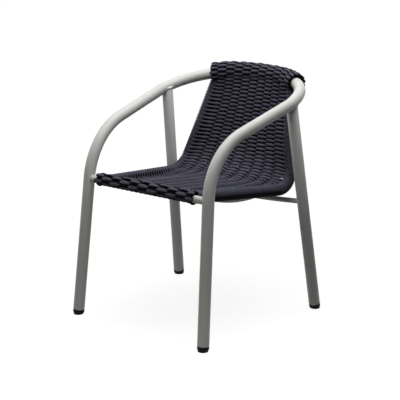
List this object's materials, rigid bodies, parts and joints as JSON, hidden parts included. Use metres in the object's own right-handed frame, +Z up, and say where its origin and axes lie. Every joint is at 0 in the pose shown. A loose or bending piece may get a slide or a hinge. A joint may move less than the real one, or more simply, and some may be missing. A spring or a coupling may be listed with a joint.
{
  "type": "armchair",
  "caption": "Dining armchair: bent metal tube frame whose hoop forms front legs, arms and top rail, with a woven rope seat and back.",
  "frame": {"origin": "centre of the chair's footprint box, on the floor", "axes": "+Z up, -Y the way the sitter faces, X = 0 the plane of symmetry"},
  "size_m": [0.5972, 0.6338, 0.7377],
  "materials": {
    "powder_coat": "smooth satin powder coat, warm light grey",
    "rope": "dark blue-grey woven synthetic rope",
    "nylon": "black nylon"
  },
  "bodies": {
    "root": {"main_hoop": "powder_coat", "rear_leg_right": "powder_coat", "rear_leg_left": "powder_coat", "front_crossbar": "powder_coat", "rear_crossbar": "powder_coat", "side_rail_right": "powder_coat", "side_rail_left": "powder_coat", "seat_brace": "powder_coat", "foot_glide_front_right": "nylon", "foot_glide_rear_right": "nylon", "foot_glide_front_left": "nylon", "foot_glide_rear_left": "nylon", "front_bar_wrap": "rope", "top_rail_wrap": "rope", "rail_wrap_right": "rope", "rail_wrap_left": "rope", "woven_panel": "rope"}
  },
  "joints": []
}
